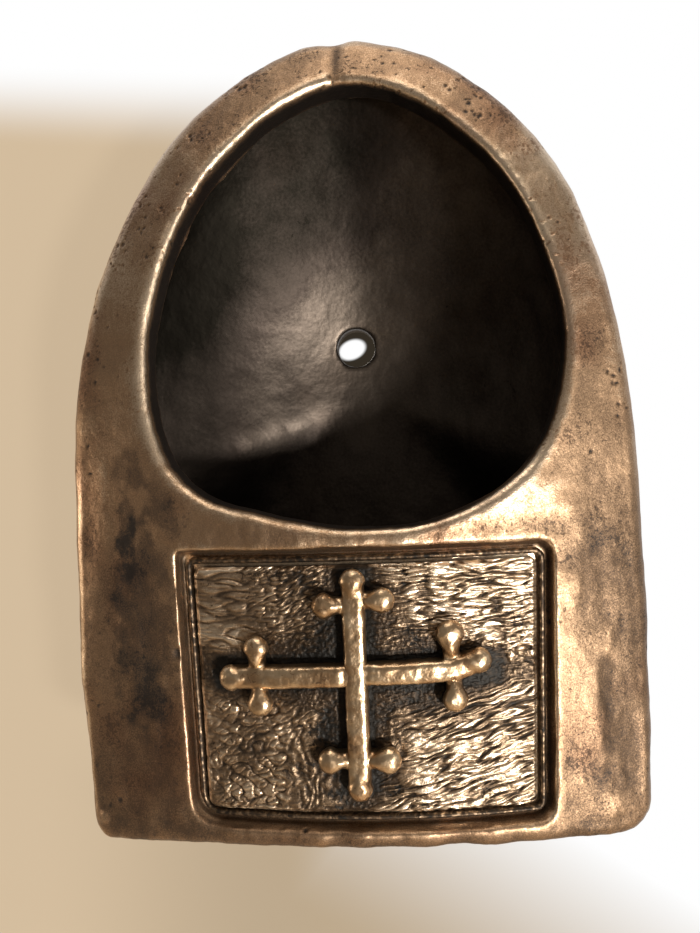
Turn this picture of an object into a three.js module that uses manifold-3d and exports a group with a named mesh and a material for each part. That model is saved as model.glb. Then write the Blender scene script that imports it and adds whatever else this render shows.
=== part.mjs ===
// Wall-hung holy water font in cast bronze, in millimetres.
// X runs to the right, Z up and Y back to the wall. The origin is the centre of the
// hanging hole, on the wall plane Y = 0, so the front of the font lies at negative Y.

import * as THREE from 'three';
import { mergeVertices } from 'three/addons/utils/BufferGeometryUtils.js';
import Module from 'manifold-3d';

const wasm = await Module();
wasm.setup();

// Body
const apexHeight = 49.4; // top of the hood above the hanging hole
const baseDrop = 79.7; // underside below the hanging hole, at the middle
const frontWidth = 90; // across the front slab, where the arch ends
const footWidth = 87.7; // across the front slab at its foot
const footShift = 0.85; // the foot lies this far to the right
const footSagLeft = 2.1; // the corners of the foot hang below its middle
const footSagRight = 1.2;
const sideSpring = 0.6; // the upright sides bow out this far
const depth = 45; // wall plane to the crown of the front
const bowRadius = 117; // the front bows forward from side to side
const apexSetback = 18.4; // the hood leans back this far at its apex
const leanStart = -19.4; // height where the hood starts to lean back
const archEnd = -32; // height where the arch runs into the upright sides
const shoulderLeft = 0.91; // how full the arch is, 1 is square
const shoulderRight = 0.97;
const crownFlat = 0.08; // level stretch of the arch at its apex, as a share of half the width
const swellOut = 0.85; // the right shoulder swells out this far
const swellHeight = 22; // above the hanging hole
const swellReach = 9.7; // up and down from there
const slabThickness = 6; // rim and front panel
const shellWall = 3.4; // hollow body
const backWall = 3.3; // at the hanging hole
const sideBulge = 3.2; // the body swells past the front slab
const bulgeForward = 0.6; // below 1 the swell lies nearer to the front
const backInset = 21; // the body draws in towards the wall
const outerRoundness = 2.1; // of the back edge, higher is squarer
const domeRadius = 32; // of the hollow at its deepest, behind the middle of the mouth
const domeRoundness = 2; // of its section
const basinRoundness = 2.8;
const basinRange = [-25, -65]; // the dome turns into the basin between these heights
const cornerRadiusLeft = 3;
const cornerRadiusRight = 4.8;
const seatGap = 0.3; // between pieces that are joined with solder

// Mouth: an egg shape, given as reach from its own centre every 30 degrees from +X
const mouthCentre = new THREE.Vector2(1.7, -8);
const mouthReach = 32; // to the left edge, level with the centre
const mouthShape = [1.006, 1.078, 1.266, 1.469, 1.25, 1.063, 1, 0.991, 0.809, 0.772, 0.841, 0.956];
const mouthEdgeRadius = 1.5;
const outerEdgeRadius = 2.2;
const splitRise = 10.7; // the rim strips end on the front panel this far above the lip
const seamX = 0.3; // the two rim strips meet here at the apex
const seamWidth = 2;
const seamDepth = 0.6;
const dipDepth = 1.2; // the top edge dips at the seam
const dipLeft = 3.2; // reach of the dip to either side
const dipRight = 1.7;

// Hanging hole
const hangingHoleDiameter = 7.5;

// Recessed panel, bead and plaque
const panelCentre = 2.3;
const panelWidthTop = 57.2;
const panelWidthFoot = 54.4;
const lipLand = 2.6; // front slab left between the lip and the recess
const footLand = 2.7; // front slab left below the recess
const recessDepth = 2.6;
const recessDraft = 0.8; // the walls of the recess lean in this far down to its floor
const grooveWidth = 2.7; // edge of the recess to the plaque
const beadSetback = 1.75; // edge of the recess to the middle of the bead
const beadWidth = 1;
const beadHeight = 1;
const plaqueSink = 0.9; // plaque face below the front of the slab
const recessCorners = { topLeft: 0.9, topRight: 2.2, footLeft: 3.6, footRight: 2.5 };
const beadCorners = { topLeft: 0.9, topRight: 1.4, footLeft: 2.4, footRight: 1 };
const plaqueCorners = { topLeft: 1.5, topRight: 1, footLeft: 1.2, footRight: 0.7 };

// Budded cross
const crossingShift = 1.2; // crossing to the left of the panel's middle
const crossingRise = 23.3; // crossing above the foot of the recess
const marginTop = 0.3; // plaque left beyond the tip of each end bud
const marginFoot = 2.5;
const marginLeft = 3.7;
const marginRight = 6.8;
const armTilt = 1.2; // degrees, the arms rise slightly to the right
const barWidth = 3.1;
const barHeight = 2.2;
const budRadius = 1.9;
const budTail = 1.6; // length of a bud's tail towards its stem, in bud radii
const tailTaper = 0.4; // share of the width that the tail loses
const budHeight = 2.7;
const neckWidth = 2.3;
const neckHeight = 1.7;
// Buds at each end of the cross as [ahead of the bar's end, to its left, size]; they are
// rolled by hand, so no two ends are alike
const trefoils = {
  top: [[0, 0, 1], [-3.4, 4.2, 1], [-2.8, -4.1, 1]],
  foot: [[0, 0, 1], [-3.9, 4.2, 1.03], [-3.9, -4.1, 1]],
  left: [[0, 0, 1.03], [-3.9, -4.25, 1], [-4.1, 3.7, 1.02]],
  right: [[0, 1.1, 1], [-3.9, 5.1, 1.12], [-3.7, -4.05, 1]],
};

// Sections as [across, up], in shares of a width and a height
const beadSection = [[-0.5, 0], [-0.5, 0.45], [-0.28, 0.85], [0, 1], [0.28, 0.85], [0.5, 0.45], [0.5, 0]];
const barSection = [
  [-0.5, 0], [-0.5, 0.66], [-0.43, 0.89], [-0.26, 1],
  [0.26, 1], [0.43, 0.89], [0.5, 0.66], [0.5, 0],
];
const budProfile = [[0.72, 0], [0.94, 0.25], [1, 0.45], [0.92, 0.68], [0.7, 0.86], [0.36, 0.97]];

// Fineness of the facets
const archSteps = 18;
const crownShares = [0, 0.01, 0.022, 0.036]; // closer steps by the apex, as shares of the arch
const sideSteps = 7;
const cornerSteps = 4;
const footSteps = 6;
const faceSteps = 5;
const budSides = 12;
const holeSides = 32;
const barStep = 4;
const outerSteps = [0, 0.04, 0.1, 0.2, 0.34, 0.5, 0.66, 0.8, 0.9, 0.97, 1];
const domeSteps = [0.996, 0.98, 0.945, 0.88, 0.78, 0.64, 0.48, 0.3, 0.12, 0];

const mix = THREE.MathUtils.lerp;
const radians = THREE.MathUtils.degToRad;

// Closed solid through rings of equal point count. A loop joins its last ring to its
// first; otherwise both ends are closed, by a fan or, for a thin bent ring, by a strip.
function loft(rings, ends) {
  const count = rings[0].length;
  const points = rings.flat();
  const faces = [];
  const last = ends === 'loop' ? rings.length : rings.length - 1;
  for (let r = 0; r < last; r += 1) {
    const here = r * count;
    const next = ((r + 1) % rings.length) * count;
    for (let i = 0; i < count; i += 1) {
      const j = (i + 1) % count;
      faces.push([here + i, here + j, next + j], [here + i, next + j, next + i]);
    }
  }
  const close = (start, flip) => {
    const face = (a, b, c) => faces.push(flip ? [a, c, b] : [a, b, c]);
    if (ends === 'strip') {
      for (let i = 0; i < count / 2 - 1; i += 1) {
        const far = count - 1 - i;
        face(start + i, start + far, start + far - 1);
        face(start + i, start + far - 1, start + i + 1);
      }
      return;
    }
    const middle = new THREE.Vector3();
    points.slice(start, start + count).forEach((p) => middle.addScaledVector(p, 1 / count));
    points.push(middle);
    for (let i = 0; i < count; i += 1) face(start + i, points.length - 1, start + ((i + 1) % count));
  };
  if (ends !== 'loop') {
    close(0, false);
    close((rings.length - 1) * count, true);
  }
  return outward(points, faces);
}

// Manifold solid of the points and faces, turned so that its faces point out
function outward(points, faces) {
  let volume = 0;
  for (const [a, b, c] of faces) {
    volume += points[a].dot(new THREE.Vector3().crossVectors(points[b], points[c]));
  }
  const order = volume > 0 ? faces : faces.map(([a, b, c]) => [a, c, b]);
  const geometry = new THREE.BufferGeometry();
  geometry.setAttribute('position', new THREE.Float32BufferAttribute(points.flatMap((p) => p.toArray()), 3));
  geometry.setIndex(order.flat());
  return solid(geometry);
}

function solid(geometry) {
  const bare = geometry.clone();
  bare.deleteAttribute('normal');
  bare.deleteAttribute('uv');
  const merged = mergeVertices(bare, 1e-4);
  return new wasm.Manifold(new wasm.Mesh({
    numProp: 3,
    vertProperties: new Float32Array(merged.attributes.position.array),
    triVerts: new Uint32Array(merged.index.array),
  }));
}

function block(low, high) {
  const size = new THREE.Vector3().subVectors(high, low);
  const middle = new THREE.Vector3().addVectors(low, high).multiplyScalar(0.5);
  const box = new THREE.BoxGeometry(size.x, size.y, size.z);
  return solid(box.translate(middle.x, middle.y, middle.z));
}

function unite(solids) {
  return solids.reduce((all, next) => all.add(next));
}

// Front surface: bowed from side to side, upright below and leaning back above
function frontDepth(x, z) {
  const rise = Math.max(0, (z - leanStart) / (apexHeight - leanStart));
  return -depth + (x * x) / (2 * bowRadius) + apexSetback * rise * rise;
}

// Point at a depth below the front surface; a negative depth stands proud of it
function onFront(x, z, below) {
  return new THREE.Vector3(x, frontDepth(x, z) + below, z);
}

// Half outline of the front slab from the apex down to the foot: an arch, a nearly
// upright side, a rounded corner and a foot that hangs lower towards the corner
function halfOutline({ shoulder, footHalf, footSag, cornerRadius }) {
  const half = frontWidth / 2;
  const footEdge = (x) => -baseDrop - footSag * (x / footHalf) ** 2;
  const cornerX = footHalf - cornerRadius;
  const cornerMiddle = new THREE.Vector2(cornerX, footEdge(cornerX) + cornerRadius);
  const arch = new THREE.CubicBezierCurve(
    new THREE.Vector2(0, apexHeight),
    new THREE.Vector2(crownFlat * half, apexHeight),
    new THREE.Vector2(half, mix(archEnd, apexHeight, shoulder)),
    new THREE.Vector2(half, archEnd),
  );
  const side = new THREE.QuadraticBezierCurve(
    new THREE.Vector2(half, archEnd),
    new THREE.Vector2((half + footHalf) / 2 + 2 * sideSpring, (archEnd + cornerMiddle.y) / 2),
    new THREE.Vector2(footHalf, cornerMiddle.y),
  );
  const points = [
    ...crownShares.map((share) => arch.getPointAt(share)),
    ...arch.getSpacedPoints(archSteps).slice(1),
    ...side.getSpacedPoints(sideSteps).slice(1),
  ];
  for (let i = 1; i <= cornerSteps; i += 1) {
    const turn = (i / cornerSteps) * (Math.PI / 2);
    points.push(new THREE.Vector2(
      cornerMiddle.x + cornerRadius * Math.cos(turn),
      cornerMiddle.y - cornerRadius * Math.sin(turn),
    ));
  }
  for (let i = footSteps - 1; i >= 0; i -= 1) {
    const x = (cornerMiddle.x * i) / footSteps;
    points.push(new THREE.Vector2(x, footEdge(x)));
  }
  return points;
}

// Whole outline, clockwise from the apex, with the outward normal at each point
function slabOutline() {
  const right = halfOutline({
    shoulder: shoulderRight,
    footHalf: footWidth / 2 + footShift,
    footSag: footSagRight,
    cornerRadius: cornerRadiusRight,
  });
  const left = halfOutline({
    shoulder: shoulderLeft,
    footHalf: footWidth / 2 - footShift,
    footSag: footSagLeft,
    cornerRadius: cornerRadiusLeft,
  }).map((p) => new THREE.Vector2(-p.x, p.y)).reverse();
  const ring = [...right, ...left.slice(1, -1)];
  return ring.map((point, i) => {
    const before = ring[(i + ring.length - 1) % ring.length];
    const after = ring[(i + 1) % ring.length];
    const along = new THREE.Vector2().subVectors(after, before).normalize();
    const normal = new THREE.Vector2(-along.y, along.x);
    const swell = point.x > 0 ? swellOut * Math.exp(-(((point.y - swellHeight) / swellReach) ** 2)) : 0;
    return { point: point.clone().addScaledVector(normal, swell), normal };
  });
}

// Reach of the mouth's edge from its centre, smooth through the given values
function mouthEdge(angle) {
  const count = mouthShape.length;
  const place = ((angle / (2 * Math.PI)) * count + count) % count;
  const i = Math.floor(place);
  const t = place - i;
  const [a, b, c, d] = [-1, 0, 1, 2].map((k) => mouthShape[(i + k + count) % count] * mouthReach);
  const slopeIn = (c - a) / 2;
  const slopeOut = (d - b) / 2;
  const t2 = t * t;
  const t3 = t2 * t;
  const level = 3 * t2 - 2 * t3;
  return mix(b, c, level) + (t3 - 2 * t2 + t) * slopeIn + (t3 - t2) * slopeOut;
}

function mouthPoint(towards) {
  const way = new THREE.Vector2().subVectors(towards, mouthCentre).normalize();
  return mouthCentre.clone().addScaledVector(way, mouthEdge(Math.atan2(way.y, way.x)));
}

const outline = slabOutline();
const lip = mouthCentre.y - mouthEdge(1.5 * Math.PI);
const recessTop = lip - lipLand;
const recessFoot = footLand - baseDrop;

// Point of the outline, lowered where the top edge dips at the seam
function dipped(point) {
  const reach = point.x < seamX ? dipLeft : dipRight;
  const drop = point.y > mouthCentre.y ? dipDepth * Math.exp(-(((point.x - seamX) / reach) ** 2)) : 0;
  return new THREE.Vector2(point.x, point.y - drop);
}

// Front slab as one ring round the mouth, with rounded inner and outer edges. It is then
// cut into the two rim strips and the front panel.
function frontSlab() {
  const rounding = [0, Math.PI / 6, Math.PI / 3, Math.PI / 2];
  const rings = outline.map(({ point }) => {
    const inner = mouthPoint(point);
    const way = new THREE.Vector2().subVectors(dipped(point), inner);
    const width = way.length();
    way.divideScalar(width);
    const section = [[0, slabThickness]];
    for (const a of rounding) {
      section.push([mouthEdgeRadius * (1 - Math.cos(a)), mouthEdgeRadius * (1 - Math.sin(a))]);
    }
    for (let i = 1; i < faceSteps; i += 1) {
      section.push([mix(mouthEdgeRadius, width - outerEdgeRadius, i / faceSteps), 0]);
    }
    for (const a of [...rounding].reverse()) {
      section.push([width - outerEdgeRadius * (1 - Math.cos(a)), outerEdgeRadius * (1 - Math.sin(a))]);
    }
    for (let i = 0; i < faceSteps; i += 1) {
      section.push([width * (1 - i / faceSteps), slabThickness]);
    }
    return section.map(([across, below]) => {
      const at = inner.clone().addScaledVector(way, across);
      return onFront(at.x, at.y, below);
    });
  });
  return loft(rings, 'loop');
}

// Groove down the face where the two rim strips meet
function apexSeam() {
  const mouthTop = mouthPoint(new THREE.Vector2(seamX, apexHeight)).y;
  const rings = [];
  for (let i = 0; i <= faceSteps; i += 1) {
    const z = mix(mouthTop - slabThickness, apexHeight + slabThickness, i / faceSteps);
    rings.push([
      onFront(seamX - seamWidth / 2, z, -seamDepth / 4),
      onFront(seamX + seamWidth / 2, z, -seamDepth / 4),
      onFront(seamX, z, seamDepth),
    ]);
  }
  return loft(rings, 'fan');
}

// Rows across a rounded panel that is set in by a margin, from its foot to its top, each
// given by its left and its right end
function panelRows(margin, { topLeft, topRight, footLeft, footRight }) {
  const top = recessTop - margin;
  const foot = recessFoot + margin;
  const end = (hand, z, inset) => (
    new THREE.Vector2(panelCentre + hand * (panelHalf(z) - margin - inset), z)
  );
  const side = (hand, footCorner, topCorner) => {
    const turns = Array.from({ length: cornerSteps + 1 }, (_, i) => (i / cornerSteps) * (Math.PI / 2));
    const upright = Array.from({ length: faceSteps - 1 }, (_, i) => (i + 1) / faceSteps);
    return [
      ...turns.map((turn) => (
        end(hand, foot + footCorner * (1 - Math.cos(turn)), footCorner * (1 - Math.sin(turn)))
      )),
      ...upright.map((share) => end(hand, mix(foot + footCorner, top - topCorner, share), 0)),
      ...turns.reverse().map((turn) => (
        end(hand, top - topCorner * (1 - Math.cos(turn)), topCorner * (1 - Math.sin(turn)))
      )),
    ];
  };
  const rights = side(1, footRight, topRight);
  return side(-1, footLeft, topLeft).map((left, i) => [left, rights[i]]);
}

// Points that divide the way from one point to another in even steps, ends left out
function between(from, to) {
  const steps = 2 * faceSteps;
  return Array.from({ length: steps - 1 }, (_, i) => from.clone().lerp(to, (i + 1) / steps));
}

// Rounded panel between two depths below the front, whose sides lean in by a draft over
// the depth of the recess
function panelBlock({ margin, corners, near, far, draft }) {
  const level = (below) => panelRows(margin + (draft * below) / recessDepth, corners).map(
    ([left, right]) => [left, ...between(left, right), right].map((p) => onFront(p.x, p.y, below)),
  );
  const back = level(far);
  return loft(level(near).map((row, i) => [...row, ...back[i].reverse()]), 'strip');
}

// Half width of the recess, which tapers towards its foot
function panelHalf(z) {
  return mix(panelWidthFoot, panelWidthTop, (z - recessFoot) / (recessTop - recessFoot)) / 2;
}

// A point of the outline drawn in by a distance at the sides, the apex and the foot
function drawIn(point, amount) {
  const middle = (apexHeight - baseDrop) / 2;
  return new THREE.Vector2(
    point.x * (1 - (2 * amount) / frontWidth),
    middle + (point.y - middle) * (1 - (2 * amount) / (apexHeight + baseDrop)),
  );
}

// Hollow body: swells past the slab at the sides, then draws in to the flat back. Its
// hollow is a dome behind the mouth that turns into a fuller basin below.
function hollowBody() {
  const seat = slabThickness + seatGap;
  const swell = (q, normal) => (
    sideBulge * Math.sin(Math.PI * q ** bulgeForward) * normal.x * Math.abs(normal.x)
  );
  const outer = outerSteps.map((q) => outline.map(({ point, normal }) => {
    const at = drawIn(point, backInset * (1 - Math.sqrt(1 - q ** outerRoundness)));
    at.x += swell(q, normal);
    return new THREE.Vector3(at.x, mix(frontDepth(at.x, at.y) + seat, 0, q), at.y);
  }));
  const dome = domeSteps.map((q) => outline.map(({ point, normal }) => {
    const wide = drawIn(point, shellWall);
    wide.x += swell(q, normal);
    const basin = THREE.MathUtils.smoothstep(-point.y, -basinRange[0], -basinRange[1]);
    const roundness = mix(domeRoundness, basinRoundness, basin);
    const way = new THREE.Vector2().subVectors(wide, mouthCentre);
    const reach = mix(way.length(), mix(domeRadius, way.length(), basin), q);
    const at = mouthCentre.clone().add(way.setLength(reach * (1 - q ** roundness) ** (1 / roundness)));
    return new THREE.Vector3(at.x, mix(frontDepth(wide.x, wide.y) + seat, -backWall, q), at.y);
  }));
  const hole = new THREE.CylinderGeometry(hangingHoleDiameter / 2, hangingHoleDiameter / 2, depth, holeSides);
  return loft([...dome, ...outer], 'fan').subtract(solid(hole));
}

// Bead round the groove, half round on top, standing on the floor of the recess
function grooveBead() {
  const rows = panelRows(beadSetback, beadCorners);
  const rights = rows.map(([, right]) => right);
  const lefts = rows.map(([left]) => left).reverse();
  const path = [
    ...rights, ...between(rights.at(-1), lefts[0]), ...lefts, ...between(lefts.at(-1), rights[0]),
  ];
  const floor = recessDepth - seatGap;
  const rings = path.map((at, i) => {
    const before = path[(i + path.length - 1) % path.length];
    const after = path[(i + 1) % path.length];
    const along = new THREE.Vector2().subVectors(after, before).normalize();
    const out = new THREE.Vector2(along.y, -along.x);
    return beadSection.map(([across, up]) => {
      const p = at.clone().addScaledVector(out, across * beadWidth);
      return onFront(p.x, p.y, floor - up * beadHeight);
    });
  });
  return loft(rings, 'loop');
}

// Rounded bar on the plaque between two points
function bar(from, to, width, height) {
  const base = plaqueSink - seatGap;
  const way = new THREE.Vector2().subVectors(to, from).normalize();
  const side = new THREE.Vector2(-way.y, way.x);
  const steps = Math.ceil(from.distanceTo(to) / barStep) + 1;
  const rings = Array.from({ length: steps + 1 }, (_, i) => {
    const at = from.clone().lerp(to, i / steps);
    return barSection.map(([across, up]) => {
      const p = at.clone().addScaledVector(side, across * width);
      return onFront(p.x, p.y, base - up * height);
    });
  });
  return loft(rings, 'fan');
}

// Point moved ahead along a way and to its left
function moved(from, way, ahead, across) {
  return new THREE.Vector2(
    from.x + way.x * ahead - way.y * across,
    from.y + way.y * ahead + way.x * across,
  );
}

// Pear-shaped bud with a crowned top, its tail towards the stem
function bud(at, way, size) {
  const base = plaqueSink - seatGap;
  const rings = budProfile.map(([wide, up]) => Array.from({ length: budSides }, (_, i) => {
    const a = (i / budSides) * 2 * Math.PI;
    const back = Math.max(0, -Math.cos(a));
    const reach = budRadius * size * wide;
    const ahead = reach * Math.cos(a) * mix(1, budTail, back);
    const across = reach * Math.sin(a) * mix(1, 1 - tailTaper, back);
    const p = moved(at, way, ahead, across);
    return onFront(p.x, p.y, base - up * budHeight);
  }));
  return loft(rings, 'fan');
}

// Three buds at the end of a bar: one at its tip, two aside on necks
function trefoil(end, way, [tip, ...aside]) {
  const stems = aside.map(([ahead, across, size]) => {
    const knot = moved(end, way, ahead, 0);
    const at = moved(end, way, ahead, across);
    const outwards = new THREE.Vector2().subVectors(at, knot).normalize();
    return unite([bud(at, outwards, size), bar(knot, at, neckWidth, neckHeight)]);
  });
  return unite([bud(moved(end, way, tip[0], tip[1]), way, tip[2]), ...stems]);
}

// The cross reaches to within its margins of the plaque's edges
const crossing = new THREE.Vector2(panelCentre - crossingShift, recessFoot + crossingRise);
const plaqueHalf = panelHalf(crossing.y) - grooveWidth;
const crossReach = {
  top: recessTop - grooveWidth - marginTop - budRadius - crossing.y,
  foot: crossing.y - recessFoot - grooveWidth - marginFoot - budRadius,
  left: plaqueHalf - crossingShift - marginLeft - budRadius,
  right: plaqueHalf + crossingShift - marginRight - budRadius,
};

function crossUpright() {
  const up = new THREE.Vector2(0, 1);
  const down = new THREE.Vector2(0, -1);
  const top = moved(crossing, up, crossReach.top, 0);
  const foot = moved(crossing, down, crossReach.foot, 0);
  return unite([
    bar(foot, top, barWidth, barHeight),
    trefoil(top, up, trefoils.top),
    trefoil(foot, down, trefoils.foot),
  ]);
}

// An arm bends at its side buds when its tip stands off its line
function crossArm(hand, reach, buds) {
  const way = new THREE.Vector2(hand * Math.cos(radians(armTilt)), hand * Math.sin(radians(armTilt)));
  const end = moved(crossing, way, reach, 0);
  const root = moved(crossing, way, barWidth / 2 + seatGap, 0);
  const [[tipAhead, tipAcross], [knotAhead]] = buds;
  const knot = moved(end, way, knotAhead, 0);
  return unite([
    bar(root, knot, barWidth, barHeight),
    bar(knot, moved(end, way, tipAhead, tipAcross), barWidth, barHeight),
    trefoil(end, way, buds),
  ]);
}

function piece(name, manifold, material) {
  const { vertProperties, triVerts } = manifold.getMesh();
  const geometry = new THREE.BufferGeometry();
  geometry.setAttribute('position', new THREE.Float32BufferAttribute(vertProperties, 3));
  geometry.setIndex([...triVerts]);
  geometry.computeVertexNormals();
  const mesh = new THREE.Mesh(geometry, material);
  mesh.name = name;
  return mesh;
}

const bronze = {
  shell: new THREE.MeshStandardMaterial({ color: 0x4a3b2c, roughness: 0.5, metalness: 1 }),
  front: new THREE.MeshStandardMaterial({ color: 0x8f7350, roughness: 0.42, metalness: 1 }),
  plaque: new THREE.MeshStandardMaterial({ color: 0x6b563c, roughness: 0.38, metalness: 1 }),
  cross: new THREE.MeshStandardMaterial({ color: 0xb5925f, roughness: 0.3, metalness: 1 }),
};

const beyond = 4 * depth; // past the whole font, for the cutting blocks
const splitHeight = lip + splitRise;
const slab = frontSlab();
const aboveSplit = (from, to) => block(
  new THREE.Vector3(from, -beyond, splitHeight),
  new THREE.Vector3(to, beyond, beyond),
);
const belowSplit = block(
  new THREE.Vector3(-beyond, -beyond, -beyond),
  new THREE.Vector3(beyond, beyond, splitHeight),
);
const hood = slab.subtract(apexSeam());
const recess = panelBlock({
  margin: 0, corners: recessCorners, near: -slabThickness, far: recessDepth, draft: recessDraft,
});
const plaque = panelBlock({
  margin: grooveWidth, corners: plaqueCorners, near: plaqueSink, far: recessDepth - seatGap, draft: 0,
});

const font = new THREE.Group();
font.add(
  piece('bowl_shell', hollowBody(), bronze.shell),
  piece('rim_left', hood.intersect(aboveSplit(-beyond, seamX)), bronze.front),
  piece('rim_right', hood.intersect(aboveSplit(seamX, beyond)), bronze.front),
  piece('front_panel', slab.intersect(belowSplit).subtract(recess), bronze.front),
  piece('panel_border', grooveBead(), bronze.plaque),
  piece('relief_plaque', plaque, bronze.plaque),
  piece('cross_upright', crossUpright(), bronze.cross),
  piece('cross_arm_left', crossArm(-1, crossReach.left, trefoils.left), bronze.cross),
  piece('cross_arm_right', crossArm(1, crossReach.right, trefoils.right), bronze.cross),
);

export default font;
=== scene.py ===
# Wall-hung holy water font in cast bronze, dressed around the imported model.
# Lengths are in millimetres while a piece is worked, and in metres once it is placed.

import math

import bmesh
import bpy
import numpy as np
from mathutils import Matrix, Vector, geometry, kdtree


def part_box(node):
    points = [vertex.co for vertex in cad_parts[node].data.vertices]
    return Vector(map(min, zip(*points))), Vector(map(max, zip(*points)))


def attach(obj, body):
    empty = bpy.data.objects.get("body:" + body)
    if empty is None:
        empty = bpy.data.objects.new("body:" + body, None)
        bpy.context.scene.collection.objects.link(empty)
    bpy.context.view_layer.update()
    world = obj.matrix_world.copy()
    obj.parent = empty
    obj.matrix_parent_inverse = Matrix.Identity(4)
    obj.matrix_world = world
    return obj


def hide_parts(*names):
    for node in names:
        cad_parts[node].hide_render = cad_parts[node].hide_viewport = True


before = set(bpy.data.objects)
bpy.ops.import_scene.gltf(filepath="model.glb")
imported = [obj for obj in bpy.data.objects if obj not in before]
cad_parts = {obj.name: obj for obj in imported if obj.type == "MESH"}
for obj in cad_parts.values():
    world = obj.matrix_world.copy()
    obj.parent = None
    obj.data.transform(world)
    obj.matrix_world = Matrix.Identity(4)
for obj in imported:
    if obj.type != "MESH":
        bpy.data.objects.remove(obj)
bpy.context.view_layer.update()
scene = bpy.context.scene
mm = 0.001
weldReach = 0.001  # in millimetres
onCut, squareToCut = 1e-6, 0.999  # nearness, in metres, and turn of a face that lies on a cut


# Noise, meshes and nodes

def toLinear(code):
    parts = [int(code[i:i + 2], 16) / 255 for i in (1, 3, 5)]
    return [c / 12.92 if c <= 0.04045 else ((c + 0.055) / 1.055) ** 2.4 for c in parts] + [1.0]


def lattice(ix, iy, iz, seed):
    # repeatable random direction at each corner of the noise grid; the large numbers mix bits
    h = (ix * 374761393 + iy * 668265263 + iz * 2147483647 + seed * 1274126177) & 0xffffffff
    h = ((h ^ (h >> 13)) * 1103515245) & 0xffffffff
    h = ((h ^ (h >> 16)) * 2654435761) & 0xffffffff
    turn = (h & 0xffff) / 65536 * 2 * math.pi
    tilt = ((h >> 16) & 0xffff) / 32768 - 1
    flat = np.sqrt(1 - tilt * tilt)
    return flat * np.cos(turn), flat * np.sin(turn), tilt


def noise(points, cell, seed):
    # gradient noise, about -0.6 to 0.6; cell is the grain size, one value or one per axis, and
    # the shift keeps the grid's numbers above zero
    p = points / np.asarray(cell, float) + 1000
    base = np.floor(p).astype(np.int64)
    f = p - base
    ease = f * f * f * (f * (f * 6 - 15) + 10)
    total = np.zeros(len(points))
    for dx in (0, 1):
        for dy in (0, 1):
            for dz in (0, 1):
                gx, gy, gz = lattice(base[:, 0] + dx, base[:, 1] + dy, base[:, 2] + dz, seed)
                dot = gx * (f[:, 0] - dx) + gy * (f[:, 1] - dy) + gz * (f[:, 2] - dz)
                weight = 1.0
                for axis, d in enumerate((dx, dy, dz)):
                    weight = weight * (ease[:, axis] if d else 1 - ease[:, axis])
                total += weight * dot
    return total


def layered(points, cell, octaves, seed):
    total, strength = 0.0, 1.0
    for i in range(octaves):
        total = total + strength * noise(points, np.asarray(cell, float) / 2 ** i, seed + i)
        strength *= 0.5
    return total


def patterned(points, grain, layers, seed, height):
    return layered(points, grain, layers, seed) * height


def smoothStep(low, high, x):
    t = np.clip((x - low) / (high - low), 0, 1)
    return t * t * (3 - 2 * t)


def blend(a, b, share):
    return a + (b - a) * share


def bell(x):
    return np.exp(-x ** 2)


def readAll(items, field, kind=float, width=3):
    # a field of all items at once, one row for each
    values = np.empty(len(items) * width, kind)
    items.foreach_get(field, values)
    return values.reshape(-1, width) if width > 1 else values


def readPoints(mesh):
    return readAll(mesh.vertices, "co")


def readNormals(mesh):
    mesh.update()
    return readAll(mesh.vertex_normals, "vector", np.float32).astype(float)


def writePoints(mesh, points):
    mesh.vertices.foreach_set("co", np.ascontiguousarray(points, dtype=np.float32).ravel())
    mesh.update()


def writeRelief(mesh, values):
    # how high each point stands, 0 in the lows and 1 on the rubbed highs, with painted light and shade added
    # on some pieces
    layer = mesh.attributes.new("reliefAndPaintedLight", "FLOAT", "POINT")
    layer.data.foreach_set("value", np.clip(values, 0, 1).astype(np.float32))


def applied(obj, kind, **settings):
    # the mesh of obj after one modifier
    modifier = obj.modifiers.new("work", kind)
    for name, value in settings.items():
        setattr(modifier, name, value)
    view = bpy.context.evaluated_depsgraph_get()
    mesh = bpy.data.meshes.new_from_object(obj.evaluated_get(view))
    obj.modifiers.remove(modifier)
    old = obj.data
    obj.data = mesh
    bpy.data.meshes.remove(old)
    return obj


def workCopy(nodes, name):
    # the named solids joined in one mesh, in millimetres
    joined = bmesh.new()
    for node in nodes:
        joined.from_mesh(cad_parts[node].data)
    bmesh.ops.scale(joined, vec=(1 / mm,) * 3, verts=joined.verts)
    bmesh.ops.remove_doubles(joined, verts=joined.verts, dist=weldReach)
    mesh = bpy.data.meshes.new(name)
    joined.to_mesh(mesh)
    joined.free()
    obj = bpy.data.objects.new(name, mesh)
    scene.collection.objects.link(obj)
    return obj


def voxels(obj, size):
    return applied(obj, "REMESH", mode="VOXEL", voxel_size=size)


def evened(mesh, points, rounds, share, keep=0):
    # points drawn towards the mean of their neighbours; those where keep is 1 stay
    a, b = readAll(mesh.edges, "vertices", np.int64, 2).T
    size = len(points)
    count = np.bincount(a, minlength=size) + np.bincount(b, minlength=size)
    for _ in range(rounds):
        mean = [np.bincount(a, points[b, k], size) + np.bincount(b, points[a, k], size) for k in range(3)]
        points = points + (np.stack(mean, 1) / count[:, None] - points) * share * (1 - keep)
    return points


def soften(obj, rounds, hold=None, share=0.6):
    # evens out the facets; points where hold is 1 stay as they are
    keep = 0 if hold is None else hold[:, None]
    writePoints(obj.data, evened(obj.data, readPoints(obj.data), rounds, share, keep))


def edgeHeight(obj, reach, rounds):
    # 0 in hollows and 1 on edges, from how far each point stands off its evened place
    points = readPoints(obj.data)
    off = ((points - evened(obj.data, points, rounds, 1.0)) * readNormals(obj.data)).sum(1)
    return 0.5 + 0.5 * np.clip(off / reach, -1, 1)


def press(obj, amount):
    # moves every point along its normal
    mesh = obj.data
    writePoints(mesh, readPoints(mesh) + readNormals(mesh) * amount[:, None])


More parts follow.
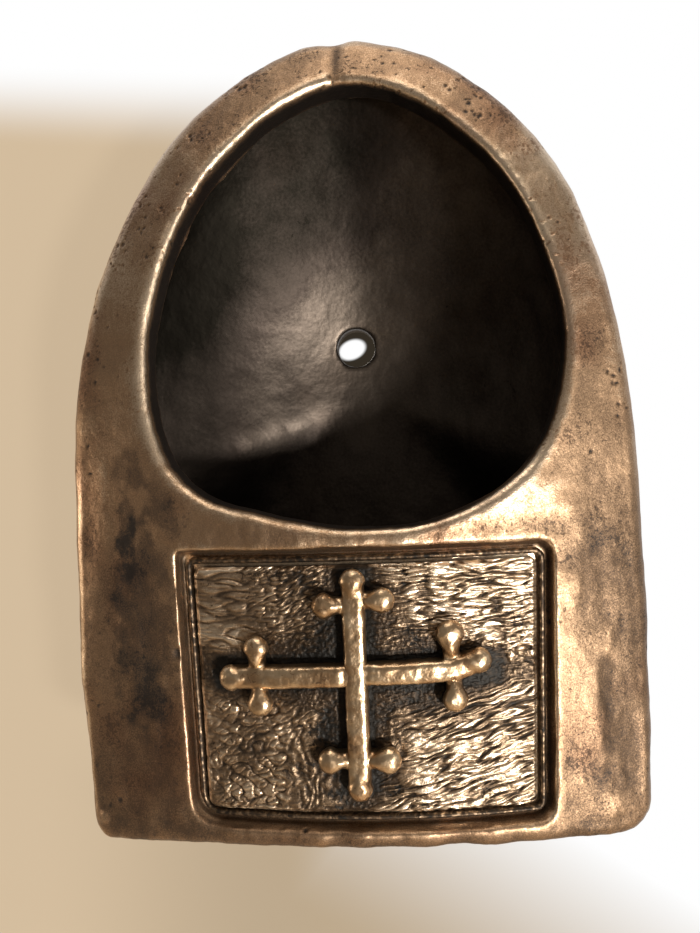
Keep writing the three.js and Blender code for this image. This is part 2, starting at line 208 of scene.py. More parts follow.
def cutAway(obj, name, point, normal):
    # the part of obj behind a plane, closed where it was cut
    work = bmesh.new()
    work.from_mesh(obj.data)
    everything = work.verts[:] + work.edges[:] + work.faces[:]
    cut = bmesh.ops.bisect_plane(work, geom=everything, plane_co=point, plane_no=normal, clear_outer=True)
    rim = [e for e in cut["geom_cut"] if isinstance(e, bmesh.types.BMEdge) and e.is_boundary]
    bmesh.ops.holes_fill(work, edges=rim, sides=0)
    bmesh.ops.triangulate(work, faces=[f for f in work.faces if len(f.verts) > 4])
    mesh = bpy.data.meshes.new(name)
    work.to_mesh(mesh)
    work.free()
    piece = bpy.data.objects.new(name, mesh)
    scene.collection.objects.link(piece)
    return piece


def storeNormals(mesh):
    layer = mesh.attributes.new("skinNormal", "FLOAT_VECTOR", "POINT")
    layer.data.foreach_set("vector", readNormals(mesh).astype(np.float32).ravel())


def keepNormals(mesh, cuts):
    # shades a cut piece as it was in the whole, so that the joint doesn't show
    layer = mesh.attributes["skinNormal"]
    corners = readAll(mesh.loops, "vertex_index", np.int64, 1)
    sizes = readAll(mesh.polygons, "loop_total", np.int64, 1)
    centres, faceNormals = readAll(mesh.polygons, "center"), readAll(mesh.polygons, "normal")
    flat = np.zeros(len(mesh.polygons), bool)
    for axis, level in cuts:
        near = np.abs(centres[:, axis] - level * mm) < onCut
        flat |= near & (np.abs(faceNormals[:, axis]) > squareToCut)
    normals = readAll(layer.data, "vector", np.float32)[corners]
    atCut = np.repeat(flat, sizes)
    normals[atCut] = np.repeat(faceNormals, sizes, axis=0)[atCut]
    normals /= np.linalg.norm(normals, axis=1, keepdims=True)
    mesh.attributes.remove(layer)
    mesh.normals_split_custom_set(normals.tolist())


def place(obj, nodes, finish):
    # back to metres, smooth, with its finish, and riding where the solids are
    mesh = obj.data
    mesh.transform(Matrix.Scale(mm, 4))
    mesh.materials.clear()
    mesh.materials.append(finish)
    mesh.polygons.foreach_set("use_smooth", np.ones(len(mesh.polygons), bool))
    mesh.update()
    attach(obj, "root")
    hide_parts(*nodes)
    print("placed", obj.name, len(mesh.polygons), "faces")


def addNode(tree, kind, settings=None, links=None):
    # a link comes from a socket, or from a node for its first output
    node = tree.nodes.new(kind)
    for name, value in (settings or {}).items():
        if isinstance(name, str) and hasattr(node, name):
            setattr(node, name, value)
        else:
            node.inputs[name].default_value = value
    for name, origin in (links or {}).items():
        socket = origin.outputs[0] if isinstance(origin, bpy.types.Node) else origin
        tree.links.new(socket, node.inputs[name])
    return node


def newMaterial(name):
    material = bpy.data.materials.new(name)
    material.use_nodes = True
    material.node_tree.nodes.clear()
    return material


# Shape of the front, as in the solids

front = {
    "crown": -45.0,  # wall plane to the crown
    "bowRadius": 117.0,
    "leanStart": -19.4,
    "apex": 49.4,
    "setback": 18.4,
}


def frontDepth(x, z):
    rise = np.maximum(0, (z - front["leanStart"]) / (front["apex"] - front["leanStart"]))
    return front["crown"] + x * x / (2 * front["bowRadius"]) + front["setback"] * rise * rise


# Finishes

# What all the bronzes have in common
patina = {
    "cloudRoughness": 0.6,
    "fleckCrowding": 0.7,  # how far flecks keep to crowds
    "fleckEdge": 0.06, "fleckWarp": 0.6,
    "fleckBelow": 0.6,  # share of the flecks that is left under fleckAbove
    "driftFrom": (0.5, 0.72),
    "roughOver": (0.15, 0.85), "metalOver": (0.1, 0.5),  # levels over which the shine changes
    "dimpleRise": 0.3, "grainRise": 0.35,  # height as a share of the size
}


def bronze(name, look):
    # Cast bronze under a brown patina. Rubbing brings the metal up on the highs, and the
    # patina stays dark in the lows, so the eye reads worn edges over a matt brown ground.
    material = newMaterial(name)
    tree = material.node_tree
    where = addNode(tree, "ShaderNodeTexCoord").outputs["Object"]
    reliefAndPaintedLight = addNode(tree, "ShaderNodeAttribute", {"attribute_name": "reliefAndPaintedLight"}).outputs["Fac"]
    clouds = {}
    for use, detail, distortion in (
        ("cloudSize", 4.0, 0.0), ("grainSize", 3.0, 0.0), ("fleckCrowd", 1.0, 0.0),
        ("fleckSize", 2.0, patina["fleckWarp"]), ("driftSize", 2.0, 0.0), ("dimpleSize", 2.0, 0.0),
    ):
        clouds[use] = addNode(tree, "ShaderNodeTexNoise", {
            "Scale": 1 / (look[use] * mm), "Detail": detail,
            "Roughness": patina["cloudRoughness"], "Distortion": distortion,
        }, {"Vector": where})

    # rubbed metal shows where the surface stands high, and painted light and shade come in through the same
    # value, broken up by clouds and grain
    level = addNode(tree, "ShaderNodeMath", {
        "operation": "MULTIPLY_ADD", 1: look["cloudShare"]}, {0: clouds["cloudSize"], 2: reliefAndPaintedLight})
    level = addNode(tree, "ShaderNodeMath", {
        "operation": "MULTIPLY_ADD", 1: look["grainShare"]}, {0: clouds["grainSize"], 2: level})
    level = addNode(tree, "ShaderNodeMath", {
        "operation": "SUBTRACT", 1: 0.5 * (look["cloudShare"] + look["grainShare"])}, {0: level})
    # dark flecks in loose crowds, where the casting skin is pitted
    flecks = addNode(tree, "ShaderNodeMath", {
        "operation": "MULTIPLY_ADD", 1: patina["fleckCrowding"],
    }, {0: clouds["fleckCrowd"], 2: clouds["fleckSize"]})
    flecks = addNode(tree, "ShaderNodeMapRange", {
        "From Min": look["fleckFrom"], "From Max": look["fleckFrom"] + patina["fleckEdge"],
        "To Min": 0.0, "To Max": look["fleckDepth"],
    }, {"Value": flecks})
    if "fleckAbove" in look:
        low, high = look["fleckAbove"]
        rise = addNode(tree, "ShaderNodeSeparateXYZ", {}, {"Vector": where}).outputs["Z"]
        fewer = addNode(tree, "ShaderNodeMapRange", {
            "From Min": low * mm, "From Max": high * mm, "To Min": patina["fleckBelow"], "To Max": 1.0,
        }, {"Value": rise})
        flecks = addNode(tree, "ShaderNodeMath", {"operation": "MULTIPLY"}, {0: flecks, 1: fewer})
    level = addNode(tree, "ShaderNodeMath", {"operation": "SUBTRACT"}, {0: level, 1: flecks})

    ramp = addNode(tree, "ShaderNodeValToRGB", {}, {"Fac": level})
    stops = ramp.color_ramp.elements
    while len(stops) < len(look["tones"]):
        stops.new(0.5)
    for stop, (position, code) in zip(stops, look["tones"]):
        stop.position = position
        stop.color = toLinear(code)
    # drifts of another tint in the patina
    drift = addNode(tree, "ShaderNodeMapRange", {
        "From Min": patina["driftFrom"][0], "From Max": patina["driftFrom"][1],
        "To Min": 0.0, "To Max": look["driftShare"],
    }, {"Value": clouds["driftSize"]})
    tinted = addNode(tree, "ShaderNodeMix", {
        "data_type": "RGBA", "blend_type": "MULTIPLY", 7: toLinear(look["driftTone"]),
    }, {0: drift, 6: ramp.outputs["Color"]})

    dimple = addNode(tree, "ShaderNodeBump", {
        "Strength": look["dimpleStrength"], "Distance": look["dimpleSize"] * mm * patina["dimpleRise"],
    }, {"Height": clouds["dimpleSize"]})
    bump = addNode(tree, "ShaderNodeBump", {
        "Strength": look["grainStrength"], "Distance": look["grainSize"] * mm * patina["grainRise"],
    }, {"Height": clouds["grainSize"], "Normal": dimple})
    rough = addNode(tree, "ShaderNodeMapRange", {
        "From Min": patina["roughOver"][0], "From Max": patina["roughOver"][1],
        "To Min": look["roughLow"], "To Max": look["roughHigh"],
    }, {"Value": level})
    metal = addNode(tree, "ShaderNodeMapRange", {
        "From Min": patina["metalOver"][0], "From Max": patina["metalOver"][1],
        "To Min": look["metalLow"], "To Max": 1.0,
    }, {"Value": level})
    shader = addNode(tree, "ShaderNodeBsdfPrincipled", {}, {
        "Base Color": tinted.outputs[2], "Roughness": rough, "Metallic": metal, "Normal": bump,
    })
    addNode(tree, "ShaderNodeOutputMaterial", {}, {"Surface": shader})
    return material


# Sand-cast and hand-rubbed: a matt tan skin with fine grain, flecks and softly worn edges
rubbedFront = bronze("rubbedCastBronze", {
    "tones": [(0.06, "#231d19"), (0.28, "#5d4a39"), (0.52, "#9a7f65"), (0.85, "#e4cfb5")],
    "cloudSize": 5.0, "cloudShare": 0.2,
    "grainSize": 0.22, "grainShare": 0.6,
    "fleckSize": 0.6, "fleckCrowd": 8.0, "fleckFrom": 0.98, "fleckDepth": 0.2, "fleckAbove": (-12, 14),
    "driftSize": 16.0, "driftShare": 0.5, "driftTone": "#b9938a",
    "roughLow": 0.58, "roughHigh": 0.28, "metalLow": 0.6,
    "dimpleSize": 1.8, "dimpleStrength": 0.18, "grainStrength": 0.6,
})
# The same casting left dark inside and round the back, with a smooth waxed skin
darkShell = bronze("darkPatinaBronze", {
    "tones": [(0.1, "#14120f"), (0.4, "#322c28"), (0.7, "#5d544c"), (0.95, "#928574")],
    "cloudSize": 9.0, "cloudShare": 0.12,
    "grainSize": 0.5, "grainShare": 0.2,
    "fleckSize": 1.4, "fleckCrowd": 12.0, "fleckFrom": 1.15, "fleckDepth": 0.15,
    "driftSize": 18.0, "driftShare": 0.4, "driftTone": "#a8958a",
    "roughLow": 0.5, "roughHigh": 0.42, "metalLow": 1.0,
    "dimpleSize": 3.2, "dimpleStrength": 0.16, "grainStrength": 0.14,
})
# Carved in wax like bark: near black in the crevices, bright on every ridge
barkBronze = bronze("barkReliefBronze", {
    "tones": [(0.1, "#14110d"), (0.36, "#46392d"), (0.6, "#947f69"), (0.88, "#f4e2ca")],
    "cloudSize": 8.0, "cloudShare": 0.25,
    "grainSize": 0.24, "grainShare": 0.25,
    "fleckSize": 0.8, "fleckCrowd": 7.0, "fleckFrom": 1.0, "fleckDepth": 0.25,
    "driftSize": 9.0, "driftShare": 0.5, "driftTone": "#a8a08e",
    "roughLow": 0.55, "roughHigh": 0.32, "metalLow": 0.6,
    "dimpleSize": 0.7, "dimpleStrength": 0.35, "grainStrength": 0.4,
})
# Handled most: polished golden bronze with a semi-gloss shine
brightCross = bronze("polishedBronze", {
    "tones": [(0.05, "#231b15"), (0.28, "#6b5641"), (0.52, "#a68b6d"), (0.82, "#e2ccac")],
    "cloudSize": 4.0, "cloudShare": 0.4,
    "grainSize": 0.35, "grainShare": 0.15,
    "fleckSize": 0.7, "fleckCrowd": 5.0, "fleckFrom": 1.0, "fleckDepth": 0.2,
    "driftSize": 5.0, "driftShare": 0.4, "driftTone": "#c7a57f",
    "roughLow": 0.4, "roughHigh": 0.3, "metalLow": 0.8,
    "dimpleSize": 1.4, "dimpleStrength": 0.2, "grainStrength": 0.2,
})


# Front slab: rim strips and front panel share one skin, so their joints don't show
slab = {
    "voxel": 0.29, "evenRounds": 4,
    "lipDrop": 10.7,  # from the foot of the rim strips to the lip
    "seamRounds": 24, "seamReach": (0.9, 2.0), "seamFoot": 30,
    "facing": (0.1, 0.7),  # how squarely a face looks forward
    "lowFrom": (-24, -40),  # where the front panel is worked more roughly
    "recessDepth": (0.9, 1.9), "recessTop": 2.4, "recessFoot": (-79, -77.5),
    "recessMiddle": 2.3, "recessHalf": (34, 32),
    # worn slope round the mouth, wider and deeper at the left
    "mouthMiddle": (1.7, -8.0), "mouthSectors": 90,
    "bevelWidth": 2.8, "bevelLean": 0.6, "bevelDrop": 0.65,
    "bevelDepth": (5.0, 1.5), "bevelAcross": (8, -12), "bevelRight": 0.15,
    "wallTurn": (0.3, 0.7), "wallDepth": (0.7, 1.5), "wallFoot": (2.2, 1.4),
    # thin worn ridge where the wall of the mouth ends on the body, at the upper left
    "creaseFromBack": 0.5, "creaseWidth": 0.3, "creaseHeight": 0.4,
    "creaseAcross": (-6, -12), "creaseRise": (7, 12), "creaseFade": (32, 26),
    "creaseBreaks": (4.0, 53), "creaseGap": (-0.3, 0.05),
    # marks of the hand as grain size, layers, seed and height
    "waves": (12.0, 2, 11, 0.4),
    "flutes": ((5.5, 20.0, 22.0), 2, 23, 0.35),  # broad upright marks of the tool
    "wrinkles": ((1.6, 3.0, 2.4), 2, 31, 0.1), "wrinklesAbove": 0.4,
    "swells": ((4.5, 9.0, 7.0), 2, 37, 0.16),
    "recessCalm": 0.8,
    # bulges as x, z, width to the left, to the right, height and lift
    "bulges": [
        (35.8, -61, 4.4, 2.2, 8, 0.34), (24.5, -28.5, 5, 5, 4, 0.35), (38.2, -51, 1.6, 1.4, 2.5, 0.2),
        (39, -75.5, 2, 2, 2, 0.25), (31, -29, 2.6, 2.6, 3, 0.12), (-38.5, -30, 1.6, 1.6, 9, 0.15),
        (6, -29.5, 8, 11, 3.4, 0.35), (-40.4, -77.6, 1, 1, 1, 0.35),
        (-26.4, -51, 0.7, 0.7, 0.9, -0.4), (33, -43, 2, 1.5, 3, 0.16),
    ],
    # casting pits, in loose crowds and mostly on the hood
    "pits": 220, "pitSeed": 5, "pitTurn": -0.2, "pitRadius": (0.25, 0.55), "pitDepth": 0.18,
    "pitSqueeze": (1.0, 2.2), "crowdSize": 9.0, "crowdSpread": 0.2, "crowding": 1.5,
    "pitsAbove": (-30, 5), "pitsBelow": 0.1,
}
# Where its patina is worn off or thicker, and where light and shade are painted on: shine makes lighter,
# shade darker
wearAndPaintedLight = {
    "ground": 0.47, "patches": (12.0, 3, 41, 0.14), "pitShade": 1.2,
    "edgeReach": 0.2, "edgeRounds": 14, "edgeShine": 0.75, "lowEdgeShine": 0.4, "liftShine": 0.35,
    "mouthWallPaintedShade": 0.5,
    "recessPaintedLight": 0.28, "recessLeftShade": 0.3, "recessLeftTurn": (0.0, -0.5),
    "recessTopPaintedSheen": 0.16, "recessTopFrom": (-39, -37),
    "lowShade": 0.08,
    "hoodEdgeShade": 0.15, "hoodEdgeAcross": (0, 12), "hoodEdgeUp": (-5, 10),
    "flankShade": 0.08, "flankFrom": (27, 35),
    "creaseWearAndHighlight": 0.8,
    "leftEdgePaintedHighlight": 0.3, "leftEdgeTurn": -0.6, "leftEdgeSpread": 0.2, "leftEdgeBelow": (-22, -27),
    "seamShade": 0.1, "seamWidth": 0.55, "seamSway": (3.0, 1, 47, 0.4),
    # dirt smudges, painted shade and painted light, as x, z, width, height and shade; a negative shade is
    # painted light
    "smudgesAndPaintedLight": [
        (-33.6, -22.8, 2.8, 4, 0.2), (-27.9, -29, 3, 5, 0.18), (-34.4, -33, 1.6, 5.5, 0.22),
        (-32, -46, 5, 14, 0.2), (-30, -64, 3, 10, 0.09), (-2, -79, 36, 3, 0.12),
        (38, -20, 8, 15, 0.07), (37.6, -60, 1.2, 9, 0.07), (36.3, -71.5, 1.2, 2.5, 0.05),
        (35, 16, 9, 14, -0.16), (-30, 12, 9, 20, -0.06), (6, -29, 13, 3.5, -0.1),
    ],
    "smudgeRags": (3.0, 3, 43, 1.5), "smudgeEdge": (1.8, 0.4),
}


def pitted(obj, look):
    # presses the casting pits and gives how deep each point was sunk
    points = readPoints(obj.data)
    draw = np.random.default_rng(look["pitSeed"])
    tree = kdtree.KDTree(len(points))
    forward = np.nonzero(readNormals(obj.data)[:, 1] < look["pitTurn"])[0]
    for i in forward:
        tree.insert(points[i], int(i))
    tree.balance()
    sink = np.zeros(len(points))
    crowds = layered(points[forward], look["crowdSize"], 2, look["pitSeed"])
    chance = np.clip(crowds + look["crowdSpread"], 0, 1) ** look["crowding"]
    chance *= look["pitsBelow"] + smoothStep(*look["pitsAbove"], points[forward, 2])
    for i in draw.choice(forward, look["pits"], p=chance / chance.sum()):
        radius = draw.uniform(*look["pitRadius"])
        turn, squeeze = draw.uniform(0, math.pi), draw.uniform(*look["pitSqueeze"])
        deep = look["pitDepth"] * radius / look["pitRadius"][1]
        for at, j, _ in tree.find_range(points[i], radius):
            x, z = at[0] - points[i, 0], at[2] - points[i, 2]
            along = x * math.cos(turn) + z * math.sin(turn)
            aside = (z * math.cos(turn) - x * math.sin(turn)) * squeeze
            sink[j] = max(sink[j], deep * (1 - (along ** 2 + aside ** 2) / radius ** 2))
    press(obj, -sink)
    return sink


def fromMouth(skin, look):
    # how far each point lies outside the edge of the mouth, and at which angle round its middle
    away = skin[:, [0, 2]] - np.array(look["mouthMiddle"])
    angle, far = np.arctan2(away[:, 1], away[:, 0]), np.hypot(*away.T)
    sectors, fullTurn = look["mouthSectors"], 2 * math.pi
    edge = np.full(sectors, far.max())
    np.minimum.at(edge, ((angle + math.pi) / fullTurn * sectors).astype(int) % sectors, far)
    middles = (np.arange(sectors) + 0.5) / sectors * fullTurn - math.pi
    return far - np.interp(angle, middles, edge, period=fullTurn), angle


print("front slab")
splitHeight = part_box("rim_left")[0][2] / mm
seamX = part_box("rim_right")[0][0] / mm
lipHeight = splitHeight - slab["lipDrop"]
whole = voxels(workCopy(("rim_left", "rim_right", "front_panel"), "frontSkin"), slab["voxel"])
soften(whole, slab["evenRounds"])
skin = readPoints(whole.data)
offSeam = smoothStep(*slab["seamReach"], np.abs(skin[:, 0] - seamX))
soften(whole, slab["seamRounds"], np.maximum(offSeam, skin[:, 2] < slab["seamFoot"]))

skin, turned = readPoints(whole.data), readNormals(whole.data)
across, up = skin[:, 0], skin[:, 2]
facing = smoothStep(*slab["facing"], -turned[:, 1])
low = smoothStep(*slab["lowFrom"], up)
below = skin[:, 1] - frontDepth(across, up)
recess = smoothStep(*slab["recessDepth"], below) * smoothStep(lipHeight, lipHeight - slab["recessTop"], up)
recess *= smoothStep(*slab["recessFoot"], up)
recess *= smoothStep(*slab["recessHalf"], np.abs(across - slab["recessMiddle"]))
outside, angle = fromMouth(skin, slab)
bevel = np.clip(1 - outside / (slab["bevelWidth"] - slab["bevelLean"] * np.cos(angle)), 0, 1) ** 2
bevel *= smoothStep(*slab["bevelDepth"], below)
bevel *= blend(slab["bevelRight"], 1, smoothStep(*slab["bevelAcross"], across))
skin[:, 1] += slab["bevelDrop"] * bevel

toMiddle = np.array(slab["mouthMiddle"]) - skin[:, [0, 2]]
toMiddle /= np.linalg.norm(toMiddle, axis=1, keepdims=True)
inward = smoothStep(*slab["wallTurn"], (turned[:, [0, 2]] * toMiddle).sum(1))
fromBack = below[inward > 0.5].max() - below
crease = inward * bell((fromBack - slab["creaseFromBack"]) / slab["creaseWidth"])
crease *= smoothStep(*slab["creaseAcross"], across)
crease *= smoothStep(*slab["creaseGap"], noise(skin, *slab["creaseBreaks"]))
crease *= smoothStep(*slab["creaseRise"], up) * smoothStep(*slab["creaseFade"], up)
skin[:, [0, 2]] += slab["creaseHeight"] * crease[:, None] * toMiddle
writePoints(whole.data, skin)

wrinkles = patterned(skin, *slab["wrinkles"]) * blend(slab["wrinklesAbove"], 1, low)
lifts = np.zeros(len(skin))
for x, z, toLeft, toRight, high, lift in slab["bulges"]:
    wide = np.where(across < x, toLeft, toRight)
    lifts += lift * np.exp(-((across - x) / wide) ** 2 - ((up - z) / high) ** 4)
worked = (patterned(skin, *slab["flutes"]) * low + patterned(skin, *slab["swells"]) * low + lifts) * facing
worked = patterned(skin, *slab["waves"]) + worked + wrinkles
press(whole, worked * (1 - slab["recessCalm"] * recess))
sink = pitted(whole, slab)

edge = edgeHeight(whole, wearAndPaintedLight["edgeReach"], wearAndPaintedLight["edgeRounds"]) - 0.5
# painted shade: the wall of the mouth, behind its worn edge, is darkened like the shaded hollow
wallFoot = [lipHeight - drop for drop in slab["wallFoot"]]
shade = wearAndPaintedLight["mouthWallPaintedShade"] * inward * smoothStep(*slab["wallDepth"], below) * smoothStep(*wallFoot, up)
# painted light lifts the recess, painted shade darkens its walls that face left, away from the lamp, and its
# top gets a painted sheen
shade += (wearAndPaintedLight["recessLeftShade"] * smoothStep(*wearAndPaintedLight["recessLeftTurn"], turned[:, 0])
          - wearAndPaintedLight["recessPaintedLight"]) * recess
shade -= wearAndPaintedLight["recessTopPaintedSheen"] * recess * smoothStep(*wearAndPaintedLight["recessTopFrom"], up)
shade += wearAndPaintedLight["lowShade"] * low
# painted shade on the edges of the hood at the right, which face away from the lamp
hoodEdge = smoothStep(*wearAndPaintedLight["hoodEdgeAcross"], across) * smoothStep(*wearAndPaintedLight["hoodEdgeUp"], up)
shade += wearAndPaintedLight["hoodEdgeShade"] * np.clip(edge, 0, 1) * hoodEdge
# painted shade on both flanks of the front panel, low down
shade += wearAndPaintedLight["flankShade"] * smoothStep(*wearAndPaintedLight["flankFrom"], np.abs(across)) * low
# the crease ridge is lightened: wear with a painted highlight
shade -= wearAndPaintedLight["creaseWearAndHighlight"] * crease
# painted highlight along the outer left edge, as if a light wall were mirrored there
paintedLeftEdgeGlint = bell((turned[:, 0] - wearAndPaintedLight["leftEdgeTurn"]) / wearAndPaintedLight["leftEdgeSpread"]) * (1 - recess)
shade -= wearAndPaintedLight["leftEdgePaintedHighlight"] * paintedLeftEdgeGlint * smoothStep(*wearAndPaintedLight["leftEdgeBelow"], up)
# dirt smudges together with patches of painted shade, and painted light where the shade is negative
rags = patterned(skin, *wearAndPaintedLight["smudgeRags"])
for x, z, wide, high, strength in wearAndPaintedLight["smudgesAndPaintedLight"]:
    reach = ((across - x) / wide) ** 2 + ((up - z) / high) ** 2
    shade += strength * smoothStep(*wearAndPaintedLight["smudgeEdge"], reach + rags) * facing
fromSeam = across - seamX + patterned(skin, *wearAndPaintedLight["seamSway"])
shade += wearAndPaintedLight["seamShade"] * bell(fromSeam / wearAndPaintedLight["seamWidth"]) * (up > slab["seamFoot"])
worn = blend(wearAndPaintedLight["edgeShine"], wearAndPaintedLight["lowEdgeShine"], low) * edge + wearAndPaintedLight["liftShine"] * lifts
worn += patterned(skin, *wearAndPaintedLight["patches"]) - wearAndPaintedLight["pitShade"] * sink
writeRelief(whole.data, wearAndPaintedLight["ground"] + worn - shade)
storeNormals(whole.data)

above = Vector((0, 0, splitHeight))
middle = Vector((seamX, 0, 0))
panel = cutAway(whole, "frontPanelSkin", above, Vector((0, 0, 1)))
upper = cutAway(whole, "upperRim", above, Vector((0, 0, -1)))
left = cutAway(upper, "rimLeftSkin", middle, Vector((1, 0, 0)))
right = cutAway(upper, "rimRightSkin", middle, Vector((-1, 0, 0)))
for spare in (whole, upper):
    bpy.data.objects.remove(spare)
for piece, node, cuts in (
    (left, "rim_left", [(2, splitHeight), (0, seamX)]),
    (right, "rim_right", [(2, splitHeight), (0, seamX)]),
    (panel, "front_panel", [(2, splitHeight)]),
):
    place(piece, [node], rubbedFront)
    keepNormals(piece.data, cuts)


# Hollow body: dark dome behind the mouth, swelling sides and a flat back
shell = {
    "voxel": 0.55, "evenRounds": 26,
    # the hanging hole, the seat of the slab and the back keep their shape
    "holeHold": (5.0, 7.0), "seatHold": (6.6, 8.5), "backHold": (-1.4, -0.4), "backShare": 0.8,
    "flatFrom": (-0.9, -0.3),
    "hammer": (6.0, 1, 61, 0.16), "waves": (14.0, 2, 67, 0.2), "holdCalm": 0.8,
    "edgeReach": 0.3, "edgeRounds": 10, "edgeShine": 0.6,
    "ground": 0.58, "patches": (12.0, 3, 71, 0.08),
    "insideShade": 0.1, "insideFrom": (0.5, 2.0),
    # painted highlight: paler round the lit patch of the dome near the hanging hole
    "domeHighlightAt": (4.0, 0.0), "domeHighlightReach": 16.0, "domeHighlightBehind": (5.0, 7.0), "domePaintedHighlight": 0.2,
    # painted shade: the dome is darker to the upper left, where it turns from the lamp, and at its far left
    "darkLean": (0.8, -0.55), "darkFrom": (7.0, 26.0), "darkAcross": (16, -4), "dark": 0.34,
    "leftShade": 0.22, "leftFrom": (-17, -30),
}

print("bowl shell")
bowl = voxels(workCopy(["bowl_shell"], "bowlShellSkin"), shell["voxel"])
skin = readPoints(bowl.data)
fromSeat = skin[:, 1] - frontDepth(skin[:, 0], skin[:, 2])
hold = 1 - smoothStep(*shell["holeHold"], np.hypot(skin[:, 0], skin[:, 2]))
hold = np.maximum(hold, 1 - smoothStep(*shell["seatHold"], fromSeat))
hold = np.maximum(hold, smoothStep(*shell["backHold"], skin[:, 1]) * shell["backShare"])
soften(bowl, shell["evenRounds"], hold)
skin = readPoints(bowl.data)
across, up = skin[:, 0], skin[:, 2]
dents = np.abs(patterned(skin, *shell["hammer"])) + patterned(skin, *shell["waves"])
flat = smoothStep(*shell["flatFrom"], skin[:, 1])
press(bowl, dents * (1 - flat) * (1 - shell["holdCalm"] * hold))
edge = edgeHeight(bowl, shell["edgeReach"], shell["edgeRounds"]) - 0.5
# painted highlight round the hanging hole
highlightX, highlightZ = shell["domeHighlightAt"]
domePaintedHighlight = shell["domePaintedHighlight"] * bell(np.hypot(across - highlightX, up - highlightZ) / shell["domeHighlightReach"])
shade = shell["insideShade"] * smoothStep(*shell["insideFrom"], fromSeat)
# painted shade to the upper left and far left of the dome
upwards, rightwards = shell["darkLean"]
shade += (shell["dark"] * smoothStep(*shell["darkFrom"], upwards * up + rightwards * across)
          * smoothStep(*shell["darkAcross"], across))
shade += shell["leftShade"] * smoothStep(*shell["leftFrom"], across)
worn = domePaintedHighlight * smoothStep(*shell["domeHighlightBehind"], fromSeat) + shell["edgeShine"] * edge * (1 - hold)
writeRelief(bowl.data, shell["ground"] - shade + worn + patterned(skin, *shell["patches"]))
place(bowl, ["bowl_shell"], darkShell)


# Bead: a thin wire round the groove
bead = {
    "voxel": 0.14, "evenRounds": 3, "sink": 0.45,
    "wobble": (1.6, 3, 83, 0.06), "ground": 0.4, "patches": (0.7, 3, 89, 0.5),
}
underside = 0.1  # thickness of what counts as the underside of a bead or bar


def sunk(obj, amount):
    # lets the underside reach down into the piece below, as solder would
    points = readPoints(obj.data)
    below = points[:, 1] - frontDepth(points[:, 0], points[:, 2])
    points[:, 1] += np.where(below > below.max() - underside, amount, 0)
    writePoints(obj.data, points)


print("bead")
wire = workCopy(["panel_border"], "grooveBeadSkin")
sunk(wire, bead["sink"])
voxels(wire, bead["voxel"])
soften(wire, bead["evenRounds"])
skin = readPoints(wire.data)
press(wire, patterned(skin, *bead["wobble"]))
writeRelief(wire.data, bead["ground"] + patterned(skin, *bead["patches"]))
place(wire, ["panel_border"], barkBronze)


